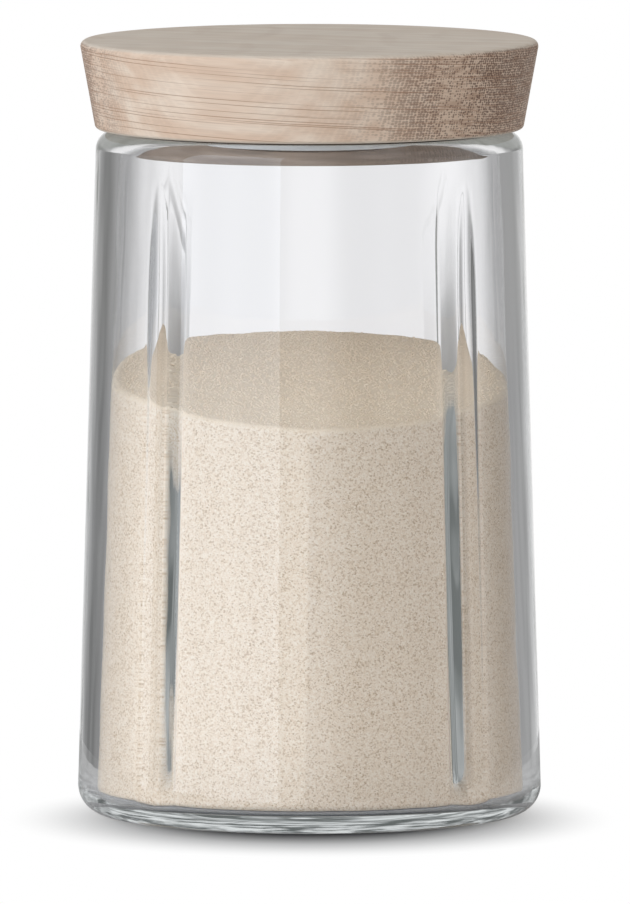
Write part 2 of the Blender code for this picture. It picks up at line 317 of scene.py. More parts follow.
def arc(centre_r, centre_z, radius, start, end, steps):
    """Points (r, z) of an arc, with its angles in degrees from outwards towards upwards."""
    angles = [math.radians(start + (end - start) * i / steps) for i in range(steps + 1)]
    return [(centre_r + radius * math.cos(a), centre_z + radius * math.sin(a)) for a in angles]


def spot(angle, distance, height):
    """A place by its angle from the front towards +X, its distance from the axis and height."""
    return Vector((distance * math.sin(angle), -distance * math.cos(angle), height))


def turn_to(thing, target):
    """Points a camera or a lamp at a place, and gives the distance."""
    view = target - thing.location
    thing.rotation_euler = view.to_track_quat("-Z", "Y").to_euler()
    return view.length


def around(count):
    """Even angles round a turned piece."""
    return [2 * math.pi * i / count for i in range(count)]


def turned_piece(name, profile, angles, sides=None):
    """An object skinned over a profile of (r, z) points, from its lower pole to its upper one.

    The profile runs up the outside, so the faces point out. A point on the axis is one vertex.
    """
    bm = bmesh.new()
    layer = bm.verts.layers.int.new(SIDE)
    loops = []
    for i, (r, z) in enumerate(profile):
        if r == 0:
            loop = [bm.verts.new((0, 0, z))]
        else:
            loop = [bm.verts.new(spot(a, r, z)) for a in angles]
        for vert in loop:
            vert[layer] = sides[i] if sides else ELSEWHERE
        loops.append(loop)
    for lower, upper in zip(loops, loops[1:]):
        for i in range(len(angles)):
            a, b = lower[i - 1 if len(lower) > 1 else 0], lower[i if len(lower) > 1 else 0]
            c, d = upper[i if len(upper) > 1 else 0], upper[i - 1 if len(upper) > 1 else 0]
            bm.faces.new([v for k, v in enumerate((a, b, c, d)) if v not in (a, b, c, d)[:k]])
    mesh = bpy.data.meshes.new(name)
    bm.to_mesh(mesh)
    bm.free()
    mesh.shade_smooth()
    piece = bpy.data.objects.new(name, mesh)
    bpy.context.scene.collection.objects.link(piece)
    return piece


def run_tree(piece, tree, values):
    """Puts a geometry nodes tree on a piece with its inputs set, and keeps the plain result."""
    modifier = piece.modifiers.new(tree.name, "NODES")
    modifier.node_group = tree
    for item in tree.interface.items_tree:
        if item.item_type == "SOCKET" and item.in_out == "INPUT" and item.name in values:
            modifier[item.identifier] = values[item.name]
    bpy.context.view_layer.update()
    depsgraph = bpy.context.evaluated_depsgraph_get()
    mesh = bpy.data.meshes.new_from_object(piece.evaluated_get(depsgraph))
    piece.modifiers.remove(modifier)
    piece.data = mesh
    return piece


def new_tree(name, inputs):
    """A geometry nodes tree with a geometry socket each way and the named inputs."""
    tree = bpy.data.node_groups.new(name, "GeometryNodeTree")
    tree.interface.new_socket("Geometry", in_out="INPUT", socket_type="NodeSocketGeometry")
    tree.interface.new_socket("Geometry", in_out="OUTPUT", socket_type="NodeSocketGeometry")
    for label, kind in inputs.items():
        tree.interface.new_socket(label, in_out="INPUT", socket_type="NodeSocket" + kind)
    return tree


def points_of_side(tree, side):
    """Selects the points on one side of a turned wall."""
    stored = add_node(tree, "GeometryNodeInputNamedAttribute", {"Name": SIDE}, data_type="INT")
    return add_node(tree, "FunctionNodeCompare", {"A": stored["Attribute"], "B": side},
                    data_type="INT", operation="EQUAL")[0]


def finish_tree(tree, geometry, material):
    """Ends a tree in plain geometry with its material on it."""
    real = add_node(tree, "GeometryNodeRealizeInstances", {0: geometry})[0]
    dressed = add_node(tree, "GeometryNodeSetMaterial", {
        "Geometry": real, "Material": material})[0]
    add_node(tree, "NodeGroupOutput", {0: dressed})
    return tree


def moulded_grooves():
    """Tree that presses grooves, or soft ridges, into one side of a turned wall."""
    tree = new_tree("Moulded grooves", {
        "Count": "Int", "First angle": "Float", "Half angle": "Float", "Depth": "Float",
        "Bottom": "Float", "Top": "Float", "Bottom end": "Float", "Top end": "Float",
        "Narrowing": "Float", "Power": "Float", "Fade": "Float", "Side": "Int",
        "Waviness": "Float", "Material": "Material"})
    given = add_node(tree, "NodeGroupInput")
    place = add_node(tree, "GeometryNodeInputPosition")[0]
    x, y, z = add_node(tree, "ShaderNodeSeparateXYZ", {0: place})

    front = add_node(tree, MATHS, {0: y, 1: -1.0}, operation="MULTIPLY")[0]
    angle = add_node(tree, MATHS, {0: x, 1: front}, operation="ARCTAN2")[0]
    turned = add_node(tree, MATHS, {0: angle, 1: given["First angle"]}, operation="SUBTRACT")[0]
    half_pitch = add_node(tree, MATHS, {0: math.pi, 1: given["Count"]}, operation="DIVIDE")[0]
    other_side = add_node(tree, MATHS, {0: half_pitch, 1: -1.0}, operation="MULTIPLY")[0]
    offset = add_node(tree, MATHS, {0: turned, 1: half_pitch, 2: other_side}, operation="WRAP")[0]
    beside = add_node(tree, MATHS, {0: offset}, operation="ABSOLUTE")[0]
    across = add_node(tree, MATHS, {0: beside, 1: given["Half angle"]}, operation="DIVIDE")[0]

    high = add_node(tree, MATHS, {0: given["Top"], 1: given["Top end"]}, operation="SUBTRACT")[0]
    low = add_node(tree, MATHS, {0: given["Bottom"], 1: given["Bottom end"]}, operation="ADD")[0]
    past_top = add_node(tree, RANGE, {0: z, 1: high, 2: given["Top"]})[0]
    past_bottom = add_node(tree, RANGE, {0: z, 1: low, 2: given["Bottom"]})[0]
    past_both = add_node(tree, "ShaderNodeCombineXYZ", {0: past_top, 1: past_bottom})[0]
    past_ends = add_node(tree, VECTOR, {0: past_both}, operation="LENGTH")["Value"]
    ends = add_node(tree, MATHS, {0: past_ends, 1: 2.0}, operation="POWER")[0]
    left = add_node(tree, MATHS, {0: 1.0, 1: ends}, operation="SUBTRACT", use_clamp=True)[0]
    narrowed = add_node(tree, MATHS, {0: ends, 1: given["Narrowing"]}, operation="MULTIPLY")[0]
    # A hair more than 1, so that the width never comes to nothing
    wide = add_node(tree, MATHS, {0: 1.0001, 1: narrowed}, operation="SUBTRACT")[0]
    width = add_node(tree, MATHS, {0: wide}, operation="SQRT")[0]
    away = add_node(tree, MATHS, {0: across, 1: width}, operation="DIVIDE", use_clamp=True)[0]
    hollow = add_node(tree, MATHS, {0: away, 1: given["Power"]}, operation="POWER")[0]
    inside = add_node(tree, MATHS, {0: 1.0, 1: hollow}, operation="SUBTRACT")[0]
    full = add_node(tree, MATHS, {0: inside, 1: left}, operation="MULTIPLY")[0]
    shape = add_node(tree, MATHS, {0: full, 1: given["Fade"]}, operation="POWER")[0]
    pressed = add_node(tree, MATHS, {0: shape, 1: given["Depth"]}, operation="MULTIPLY")[0]

    drawn_out = add_node(tree, VECTOR, {0: place, 1: (1.0, 1.0, 0.2)}, operation="MULTIPLY")[0]
    slow = add_node(tree, NOISE, {
        "Vector": drawn_out, "Scale": GLASS_WAVES, "Detail": 2.0, "Roughness": 0.6})[0]
    level = add_node(tree, MATHS, {0: slow, 1: 0.5}, operation="SUBTRACT")[0]
    waved = add_node(tree, MATHS, {0: level, 1: given["Waviness"], 2: pressed},
                     operation="MULTIPLY_ADD")[0]
    inwards = add_node(tree, MATHS, {0: waved, 1: -1.0}, operation="MULTIPLY")[0]

    flat = add_node(tree, "ShaderNodeCombineXYZ", {0: x, 1: y})[0]
    outwards = add_node(tree, VECTOR, {0: flat}, operation="NORMALIZE")[0]
    shift = add_node(tree, VECTOR, {0: outwards, "Scale": inwards}, operation="SCALE")[0]
    chosen = points_of_side(tree, given["Side"])
    moved = add_node(tree, "GeometryNodeSetPosition", {
        "Geometry": given["Geometry"], "Selection": chosen, "Offset": shift})[0]
    return finish_tree(tree, moved, given["Material"])


def groove_values(glass, material):
    """Inputs of the grooves outside, of the ridges inside and of the uneven heel."""
    foot = GLASS_HIGH.z - glass.shoulder_rounding
    across = GLASS_HIGH.x + glass.shoulder_radius
    across_inside = bore_radius(glass, glass.heel_rounding) + bore_radius(glass, foot)
    shared = {"Count": glass.groove_count, "First angle": glass.first_groove,
              "Top": foot - glass.groove_top_margin, "Material": material}
    grooves = shared | {
        "Half angle": glass.groove_width / across, "Depth": glass.groove_depth,
        "Narrowing": 1.0, "Power": 2.0, "Fade": glass.groove_fade,
        "Side": OUTSIDE, "Waviness": glass.outer_waviness,
        "Bottom": glass.heel_rounding + glass.groove_bottom_margin,
        "Bottom end": glass.groove_bottom_end, "Top end": glass.groove_top_end}
    ridges = shared | {
        "Half angle": glass.ridge_width / across_inside, "Depth": glass.ridge_height,
        "Narrowing": 0.0, "Power": glass.ridge_crown, "Fade": 1.0,
        "Side": INSIDE, "Waviness": glass.inner_waviness,
        "Bottom": glass.floor_thickness, "Bottom end": glass.ridge_bottom_end,
        "Top end": glass.ridge_top_end}
    heel = ridges | {"Depth": 0.0, "Side": HEEL, "Waviness": glass.heel_waviness}
    return grooves, ridges, heel


def wall_angles(glass):
    """Angles round the wall, close together to just past each ridge."""
    pitch = 2 * math.pi / glass.groove_count
    past_ridge = 1.02
    widths = bore_radius(glass, 0) + bore_radius(glass, GLASS_HIGH.z)
    dense = past_ridge * glass.ridge_width / widths
    fine = math.radians(0.3)
    coarse = math.radians(1.2)
    fine_steps = math.ceil(2 * dense / fine)
    plain_steps = math.ceil((pitch - 2 * dense) / coarse)
    across = [-dense + 2 * dense * i / fine_steps for i in range(fine_steps)]
    across += [dense + (pitch - 2 * dense) * i / plain_steps for i in range(plain_steps)]
    return [glass.first_groove + pitch * k + a for k in range(glass.groove_count) for a in across]


def wall_heights(low, high, marks, fine, coarse):
    """Heights from low to high, in steps that widen by a quarter of the way from a mark."""
    heights = [low]
    while heights[-1] < high - fine:
        z = heights[-1]
        near = min(abs(z - mark) for mark in marks)
        heights.append(z + min(coarse, fine + near / 4))
    heights[-1] = high
    return heights


def cone_radius(glass, z):
    """Radius of the tapered wall outside."""
    foot = GLASS_HIGH.z - glass.shoulder_rounding
    up_share = (z - glass.heel_rounding) / (foot - glass.heel_rounding)
    return GLASS_HIGH.x + (glass.shoulder_radius - GLASS_HIGH.x) * up_share


def bore_radius(glass, z):
    """Radius of the inside of the wall, without its ridges."""
    up_share = (z - glass.heel_rounding) / (GLASS_HIGH.z - glass.heel_rounding)
    wall = glass.wall_at_heel + (glass.wall_at_rim - glass.wall_at_heel) * up_share
    return cone_radius(glass, z) - wall


def glass_profile(glass):
    """The wall's outline from under the base, up the outside and down the inside, with sides."""
    heel_centre = GLASS_HIGH.x - glass.heel_rounding
    contact_inner = heel_centre - glass.contact_width
    foot = GLASS_HIGH.z - glass.shoulder_rounding
    shoulder_centre = glass.shoulder_radius - glass.shoulder_rounding
    mouth = bore_radius(glass, GLASS_HIGH.z)
    corner_top = glass.floor_thickness + glass.floor_rounding
    corner = bore_radius(glass, corner_top) - glass.floor_rounding
    grooves, ridges, _ = groove_values(glass, None)
    fine = 0.35 * MILLIMETRE
    coarse = 3 * MILLIMETRE

    ramp_inner = contact_inner - glass.base_recess_ramp
    points = [(0, glass.base_recess), (ramp_inner / 2, glass.base_recess)]
    points += [(ramp_inner + glass.base_recess_ramp * i / RECESS_STEPS,
                glass.base_recess * (0.5 + 0.5 * math.cos(math.pi * i / RECESS_STEPS)))
               for i in range(RECESS_STEPS)]
    points += [(contact_inner, 0), (heel_centre, 0)]
    sides = [ELSEWHERE] * len(points)
    points += arc(heel_centre, glass.heel_rounding, glass.heel_rounding,
                  -90, 0, HEEL_STEPS)[1:-1]
    sides += [HEEL] * (len(points) - len(sides))
    marks = (grooves["Bottom"], grooves["Top"])
    outside = wall_heights(glass.heel_rounding, foot, marks, fine, coarse)
    points += [(cone_radius(glass, z), z) for z in outside]
    sides += [OUTSIDE] * len(outside)
    points += arc(shoulder_centre, foot, glass.shoulder_rounding, 0, 90, SHOULDER_STEPS)[1:]
    points += arc(mouth + glass.rim_rounding, GLASS_HIGH.z - glass.rim_rounding,
                  glass.rim_rounding, 90, 180, RIM_STEPS)
    sides += [ELSEWHERE] * (len(points) - len(sides))
    marks = (ridges["Bottom"], ridges["Top"])
    inside = wall_heights(corner_top, GLASS_HIGH.z - glass.rim_rounding, marks, 2 * fine, coarse)
    inside = inside[-2::-1]
    points += [(bore_radius(glass, z), z) for z in inside]
    points += arc(corner, corner_top, glass.floor_rounding, 0, -90, FLOOR_STEPS)[1:-1]
    sides += [INSIDE] * (len(points) - len(sides))
    points += [(corner, glass.floor_thickness)]
    points += [(corner * share, glass.floor_thickness) for share in (0.8, 0.5, 0.25)]
    points += [(0, glass.floor_thickness)]
    sides += [ELSEWHERE] * (len(points) - len(sides))
    return points, sides


def clear_glass(glass):
    """Soda-lime glass, pressed and fire-polished: hard clean highlights and dark thick edges.

    The lamp shines through it straight, so that what is inside is lit and its shadow is pale.
    """
    material, tree = new_material("soda_lime_glass_fire_polished")
    clear = add_node(tree, PRINCIPLED, {
        "Base Color": linear(glass.tint), "Roughness": 0.0, "IOR": 1.52,
        "Transmission Weight": 1.0})[0]
    lamp_light = add_node(tree, "ShaderNodeBsdfTransparent", {"Color": linear("fafbfb")})[0]
    path = add_node(tree, "ShaderNodeLightPath")
    either = add_node(tree, "ShaderNodeMixShader", {
        0: path["Is Shadow Ray"], 1: clear, 2: lamp_light})[0]

    # Rays caught in the wall for more than two mirrored bounces end in a painted glow instead of
    # black. The glow is streaked, level in the base and upright above it
    place = add_node(tree, "ShaderNodeTexCoord")["Object"]
    height = add_node(tree, "ShaderNodeSeparateXYZ", {0: place})[2]
    drawn = add_node(tree, VECTOR, {0: place, 1: (1.0, 1.0, 8.0)}, operation="MULTIPLY")[0]
    level = add_node(tree, NOISE, {
        "Vector": drawn, "Scale": BASE_STREAKS, "Detail": 3.0, "Roughness": 0.6})[0]
    level = add_node(tree, RANGE, {0: level, 1: 0.42, 2: 0.60})[0]
    drawn = add_node(tree, VECTOR, {0: place, 1: (1.0, 1.0, 0.08)}, operation="MULTIPLY")[0]
    upright = add_node(tree, NOISE, {
        "Vector": drawn, "Scale": WALL_STREAKS, "Detail": 2.0})[0]
    upright = add_node(tree, RANGE, {0: upright, 1: 0.4, 2: 0.62, 4: 0.45})[0]
    above = add_node(tree, RANGE, {
        0: height, 1: 1.2 * glass.heel_rounding, 2: 1.8 * glass.heel_rounding})[0]
    streak = add_node(tree, MIX, {0: above, 2: level, 3: upright})[0]
    low_leak = add_node(tree, MIX, {
        0: streak, 6: linear(glass.dark_leak), 7: linear(glass.pale_leak)}, **COLOURS)[2]
    # The painted glow takes a darker grey in the neck
    in_neck = add_node(tree, RANGE, {0: height, 1: 0.6 * GLASS_HIGH.z, 2: 0.75 * GLASS_HIGH.z,
                                     3: 0.0, 4: 0.8})[0]
    leak_colour = add_node(tree, MIX, {0: in_neck, 6: low_leak, 7: linear(glass.neck_leak)},
                           **COLOURS)[2]
    painted_glow = add_node(tree, "ShaderNodeEmission", {"Color": leak_colour})[0]
    bounces = 2.5             # between two and three mirrored bounces inside the wall
    caught = add_node(tree, MATHS, {0: path["Glossy Depth"], 1: bounces},
                      operation="GREATER_THAN")[0]
    lit = add_node(tree, "ShaderNodeMixShader", {0: caught, 1: either, 2: painted_glow})[0]
    add_node(tree, OUTPUT, {"Surface": lit})
    return material


def turned_oak(lid):
    """European oak, turned on a lathe and left raw: long dark rays on the front, open pores.

    The fibres lie nearly level, so the two ends of the disc show pores as dots, crossed by rays.
    """
    material, tree = new_material("oak_turned_unfinished")
    texture = add_node(tree, "ShaderNodeTexCoord")
    turn = math.pi / 2 - lid.fibre_angle
    along = add_node(tree, "ShaderNodeMapping", {
        "Vector": texture["Object"], "Rotation": (0, -lid.fibre_slope, turn)})[0]
    facing = add_node(tree, "ShaderNodeMapping", {
        "Vector": texture["Normal"], "Rotation": (0, -lid.fibre_slope, turn)})[0]

    # A slow drift, so that no line is ruled
    stretched = add_node(tree, VECTOR, {0: along, 1: (0.2, 1.0, 1.0)}, operation="MULTIPLY")[0]
    drift = add_node(tree, NOISE, {
        "Vector": stretched, "Scale": FIBRE_DRIFT, "Detail": 2.0})["Color"]
    level = add_node(tree, VECTOR, {0: drift, 1: (0.5, 0.5, 0.5)}, operation="SUBTRACT")[0]
    grain = add_node(tree, VECTOR, {
        0: level, 1: (0.0, 1.8 * MILLIMETRE, 1.1 * MILLIMETRE), 2: along},
        operation="MULTIPLY_ADD")[0]

    # Year rings, upright planes that curve gently round a pith 22 cm away
    pith = (0.0, 0.22, (LID_LOW.z + LID_HIGH.z) / 2)
    from_pith = add_node(tree, VECTOR, {0: grain, 1: pith}, operation="SUBTRACT")[0]
    flat_pith = add_node(tree, VECTOR, {0: from_pith, 1: (0.0, 1.0, 1.0)},
                         operation="MULTIPLY")[0]
    away = add_node(tree, VECTOR, {0: flat_pith}, operation="LENGTH")["Value"]
    rings = add_node(tree, MATHS, {0: away, 1: lid.ring_spacing}, operation="DIVIDE")[0]
    ring = add_node(tree, MATHS, {0: rings}, operation="FRACT")[0]
    early = add_node(tree, RANGE, {0: ring, 1: 0.75, 2: 0.25}, **SMOOTH)[0]
    late_line = add_node(tree, RANGE, {0: ring, 1: 0.72, 2: 0.9}, **SMOOTH)[0]

    # Pores, long tubes along the fibres
    pore = lid.pore_spacing
    pore_cell = (14 * MILLIMETRE, 1.1 * pore, 0.9 * pore)
    pore_cells = add_node(tree, VECTOR, {0: grain, 1: pore_cell}, operation="DIVIDE")[0]
    pores = add_node(tree, "ShaderNodeTexVoronoi", {
        "Vector": pore_cells, "Scale": 1.0, "Randomness": 0.4})
    pore_size = add_node(tree, RANGE, {0: late_line, 3: 0.50, 4: 0.42})[0]
    in_pore = add_node(tree, MATHS, {0: pore_size, 1: pores["Distance"]},
                       operation="SUBTRACT")[0]
    pore_mask = add_node(tree, RANGE, {0: in_pore, 1: -0.10, 2: 0.12}, **SMOOTH)[0]

    # Broad rays, thin level lenses, one in each cell
    ray_cell = (60 * MILLIMETRE, 36 * MILLIMETRE, lid.ray_spacing)
    ray_cells = add_node(tree, VECTOR, {0: grain, 1: ray_cell}, operation="DIVIDE")[0]
    ray = add_node(tree, "ShaderNodeTexVoronoi", {"Vector": ray_cells, "Scale": 1.0})
    from_middle = add_node(tree, VECTOR, {0: ray_cells, 1: ray["Position"]},
                           operation="SUBTRACT")[0]
    half_lens = (0.75, 0.75, 0.13 * MILLIMETRE / lid.ray_spacing)
    lens = add_node(tree, VECTOR, {0: from_middle, 1: half_lens}, operation="DIVIDE")[0]
    past_lens = add_node(tree, VECTOR, {0: lens}, operation="LENGTH")["Value"]
    broad = add_node(tree, RANGE, {0: past_lens, 1: 1.0, 2: 0.45}, **SMOOTH)[0]

    facing = add_node(tree, VECTOR, {0: facing}, operation="ABSOLUTE")[0]
    fibre, _, upright = add_node(tree, "ShaderNodeSeparateXYZ", {0: facing})
    end_grain = add_node(tree, RANGE, {0: fibre, 1: 0.45, 2: 1.0}, **SMOOTH)[0]
    on_side = add_node(tree, RANGE, {0: upright, 1: 0.8, 2: 0.3}, **SMOOTH)[0]

    # How much of each tone and line shows
    long_place = add_node(tree, VECTOR, {0: grain, 1: (0.12, 1.0, 1.0)}, operation="MULTIPLY")[0]
    tone = add_node(tree, NOISE, {"Vector": long_place, "Scale": WOOD_TONES, "Detail": 3.0})[0]
    tone = add_node(tree, RANGE, {0: tone, 1: 0.3, 2: 0.7}, **SMOOTH)[0]
    early_share = add_node(tree, MATHS, {0: early, 1: 0.15}, operation="MULTIPLY")[0]
    end_share = add_node(tree, MATHS, {0: end_grain, 1: 0.8}, operation="MULTIPLY")[0]
    line_share = add_node(tree, MATHS, {0: late_line, 1: end_share}, operation="MULTIPLY")[0]
    line_share = add_node(tree, MATHS, {0: line_share, 1: 0.4}, operation="MULTIPLY")[0]
    # Painted shade: faces that point up take the top's greyer colour
    top_shade_share = add_node(tree, RANGE, {0: on_side, 3: 0.6, 4: 0.0})[0]
    fine_place = add_node(tree, VECTOR, {0: grain, 1: (0.1, 0.14, 1.0)},
                          operation="MULTIPLY")[0]
    fine_rays = add_node(tree, NOISE, {
        "Vector": fine_place, "Scale": FINE_RAYS, "Detail": 1.0})[0]
    fine_rays = add_node(tree, RANGE, {0: fine_rays, 1: 0.5, 2: 0.6, 4: 0.5})[0]
    fine_share = add_node(tree, MATHS, {0: fine_rays, 1: end_grain}, operation="MULTIPLY")[0]
    open_pores = add_node(tree, MATHS, {0: end_grain, 1: 0.74, 2: 0.06},
                          operation="MULTIPLY_ADD")[0]
    pore_share = add_node(tree, MATHS, {0: pore_mask, 1: open_pores}, operation="MULTIPLY")[0]
    ray_depth = add_node(tree, RANGE, {0: on_side, 3: 0.10, 4: 0.75})[0]
    ray_share = add_node(tree, MATHS, {0: broad, 1: ray_depth}, operation="MULTIPLY")[0]

    # The plug below the seat is painted darker, as painted shade under the lid, with fine level
    # lines from the lathe
    height = add_node(tree, "ShaderNodeSeparateXYZ", {0: texture["Object"]})[2]
    on_plug = add_node(tree, MATHS, {0: height, 1: GLASS_HIGH.z + lid.seat_gap / 2},
                       operation="LESS_THAN")[0]
    turned = add_node(tree, VECTOR, {0: texture["Object"], 1: (1.0, 1.0, 30.0)},
                      operation="MULTIPLY")[0]
    lathe = add_node(tree, NOISE, {"Vector": turned, "Scale": LATHE_LINES, "Detail": 2.0})[0]
    lathe = add_node(tree, RANGE, {0: lathe, 1: 0.35, 2: 0.65, 3: 0.75, 4: 1.0})[0]
    plug_shade_share = add_node(tree, MATHS, {0: on_plug, 1: lathe}, operation="MULTIPLY")[0]

    # Colours laid over the pale wood, from the lowest to the top one
    wood = linear(lid.pale_colour)
    for share, colour in ((tone, lid.mid_colour), (early_share, lid.mid_colour),
                          (end_share, lid.end_colour), (line_share, lid.mid_colour),
                          (top_shade_share, lid.top_shade_colour), (fine_share, lid.ray_colour),
                          (pore_share, lid.pore_colour), (ray_share, lid.ray_colour),
                          (plug_shade_share, lid.plug_shade_colour)):
        wood = add_node(tree, MIX, {0: share, 6: wood, 7: linear(colour)}, **COLOURS)[2]

    hollow = add_node(tree, MATHS, {0: pore_share, 1: -1.0}, operation="MULTIPLY")[0]
    bump = add_node(tree, "ShaderNodeBump", {
        "Height": hollow, "Strength": 0.5, "Distance": 0.12 * MILLIMETRE})[0]
    rough = add_node(tree, RANGE, {0: tone, 3: 0.52, 4: 0.64})[0]
    oak = add_node(tree, PRINCIPLED, {"Base Color": wood, "Roughness": rough, "Normal": bump})[0]
    add_node(tree, OUTPUT, {"Surface": oak})
    return material


def clear_silicone(colour):
    """Silicone rubber, moulded: a cloudy white ring with a soft gleam."""
    material, tree = new_material("silicone_rubber_moulded")
    place = add_node(tree, "ShaderNodeTexCoord")["Object"]
    haze = add_node(tree, NOISE, {"Vector": place, "Scale": SILICONE_HAZE})[0]
    rough = add_node(tree, RANGE, {0: haze, 3: 0.28, 4: 0.42})[0]
    rubber = add_node(tree, PRINCIPLED, {
        "Base Color": linear(colour), "Roughness": rough, "IOR": 1.41,
        "Transmission Weight": 0.25})[0]
    add_node(tree, OUTPUT, {"Surface": rubber})
    return material


def dry_granules(fill, name, loose):
    """Fine dry granules, such as raw sugar or semolina: matt, each grain with its own tone."""
    material, tree = new_material(name)
    texture = add_node(tree, "ShaderNodeTexCoord")
    place = texture["Object"]
    cells = add_node(tree, "ShaderNodeTexVoronoi", {
        "Vector": place, "Scale": 1 / fill.grain_size})
    if loose:
        tone = add_node(tree, "ShaderNodeAttribute", attribute_name=TONE)["Fac"]
    else:
        tone = add_node(tree, "ShaderNodeSeparateColor", {0: cells["Color"]})[0]
    patches = add_node(tree, NOISE, {
        "Vector": place, "Scale": GRANULE_PATCHES, "Detail": 5.0, "Roughness": 0.7})[0]
    uneven = add_node(tree, RANGE, {0: patches, 1: 0.3, 2: 0.7, 3: -0.08, 4: 0.08})[0]
    mixed = add_node(tree, MATHS, {0: tone, 1: uneven}, operation="ADD")[0]
    shades = add_node(tree, "ShaderNodeValToRGB", {0: mixed})[0]
    stops = shades.node.color_ramp.elements
    stops[0].position = 0.0
    stops[0].color = linear(fill.speck_colour)
    stops[1].position = 1.0
    stops[1].color = linear(fill.pale_colour)
    stops.new(0.25).color = linear(fill.brown_colour)
    bump = add_node(tree, "ShaderNodeBump", {
        "Height": cells["Distance"], "Strength": 0.35, "Distance": fill.grain_size / 3},
        invert=True)[0]
    # Painted light: the packed grains' upward faces are mixed towards the loose grains' colour,
    # and the loose grains take half of it as their own
    upright = add_node(tree, "ShaderNodeSeparateXYZ", {0: texture["Normal"]})[2]
    on_top = add_node(tree, RANGE, {0: upright, 1: 0.3, 2: 0.7, 4: 0.7})[0]
    shades = add_node(tree, MIX, {0: 0.5 if loose else on_top, 6: shades,
                                  7: linear(fill.loose_and_lit_top_colour)}, **COLOURS)[2]
    granules = add_node(tree, PRINCIPLED, {
        "Base Color": shades, "Roughness": 0.85, "Normal": bump})[0]
    add_node(tree, OUTPUT, {"Surface": granules})
    return material


def scattered_grains():
    """Tree that strews small stones over the top of the contents."""
    tree = new_tree("Scattered grains", {
        "Density": "Float", "Size": "Float", "Seed": "Int", "Side": "Int",
        "Material": "Material"})
    given = add_node(tree, "NodeGroupInput")
    chosen = points_of_side(tree, given["Side"])
    points = add_node(tree, "GeometryNodeDistributePointsOnFaces", {
        "Mesh": given["Geometry"], "Selection": chosen, "Density": given["Density"],
        "Seed": given["Seed"]})["Points"]
    half = add_node(tree, MATHS, {0: given["Size"], 1: 0.5}, operation="MULTIPLY")[0]
    stone = add_node(tree, "GeometryNodeMeshIcoSphere", {
        "Radius": half, "Subdivisions": 1})["Mesh"]
    # Each stone is turned at random and drawn out to its own width, depth and height
    spin = add_node(tree, RANDOM, {
        0: (0.0, 0.0, 0.0), 1: (2 * math.pi,) * 3, "Seed": given["Seed"]},
        data_type="FLOAT_VECTOR")[0]
    spread = add_node(tree, RANDOM, {
        0: (0.8, 0.8, 0.6), 1: (1.7, 1.4, 1.1), "Seed": given["Seed"]},
        data_type="FLOAT_VECTOR")[0]
    strewn = add_node(tree, "GeometryNodeInstanceOnPoints", {
        "Points": points, "Instance": stone, "Rotation": spin, "Scale": spread})[0]
    shade = add_node(tree, RANDOM, {2: 0.0, 3: 1.0, "Seed": given["Seed"]},
                     data_type="FLOAT")[1]
    toned = add_node(tree, "GeometryNodeStoreNamedAttribute", {
        "Geometry": strewn, "Name": TONE, "Value": shade}, data_type="FLOAT",
        domain="INSTANCE")[0]
    return finish_tree(tree, toned, given["Material"])


class GlassOperator(bpy.types.Operator):
    """Builds the glass body with its moulded grooves"""

    bl_idname = "storage_jar.glass"
    bl_label = "Glass body"

    def execute(self, context):
        glass = context.scene.storage_jar.glass
        profile, sides = glass_profile(glass)
        body = turned_piece("glass_body", profile, wall_angles(glass), sides)
        tree = moulded_grooves()
        for values in groove_values(glass, clear_glass(glass)):
            run_tree(body, tree, values)
        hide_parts("glass_jar")
        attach(body, "jar")
        return {"FINISHED"}


class LidOperator(bpy.types.Operator):
    """Turns the oak lid: a flared disc with a plug below it"""

    bl_idname = "storage_jar.lid"
    bl_label = "Oak lid"

    def execute(self, context):
        lid = context.scene.storage_jar.lid
        seal = context.scene.storage_jar.seal
        glass = context.scene.storage_jar.glass
        seat = GLASS_HIGH.z + lid.seat_gap
        lower = glass.shoulder_radius + lid.overhang
        upper = lower + lid.flare
        plug = bore_radius(glass, GLASS_HIGH.z) - lid.plug_gap
        groove_top = seat - lid.land_above
        groove_bottom = groove_top - seal.height - 2 * seal.fit
        groove_radius = plug - seal.seat_depth
        lean = math.degrees(math.atan2(lid.flare, LID_HIGH.z - seat))

        profile = [(0, LID_LOW.z), (plug / 2, LID_LOW.z)]
        profile += arc(plug - lid.plug_rounding, LID_LOW.z + lid.plug_rounding,
                       lid.plug_rounding, -90, 0, PLUG_STEPS)
        profile += [(plug, groove_bottom), (groove_radius, groove_bottom)]
        profile += [(groove_radius, groove_top), (plug, groove_top), (plug, seat)]
        profile += arc(lower - lid.bottom_rounding, seat + lid.bottom_rounding,
                       lid.bottom_rounding, -90, -lean, LID_BOTTOM_STEPS)
        profile += arc(upper - lid.top_rounding, LID_HIGH.z - lid.top_rounding,
                       lid.top_rounding, -lean, 90, LID_TOP_STEPS)
        profile += [(upper * share, LID_HIGH.z) for share in (0.9, 0.5)] + [(0, LID_HIGH.z)]
        disc = turned_piece("oak_lid_disc", profile, around(LID_SEGMENTS))
        disc.data.set_sharp_from_angle(angle=SHARP_ANGLE)
        disc.data.materials.append(turned_oak(lid))
        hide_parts("oak_lid")
        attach(disc, "lid")
        return {"FINISHED"}


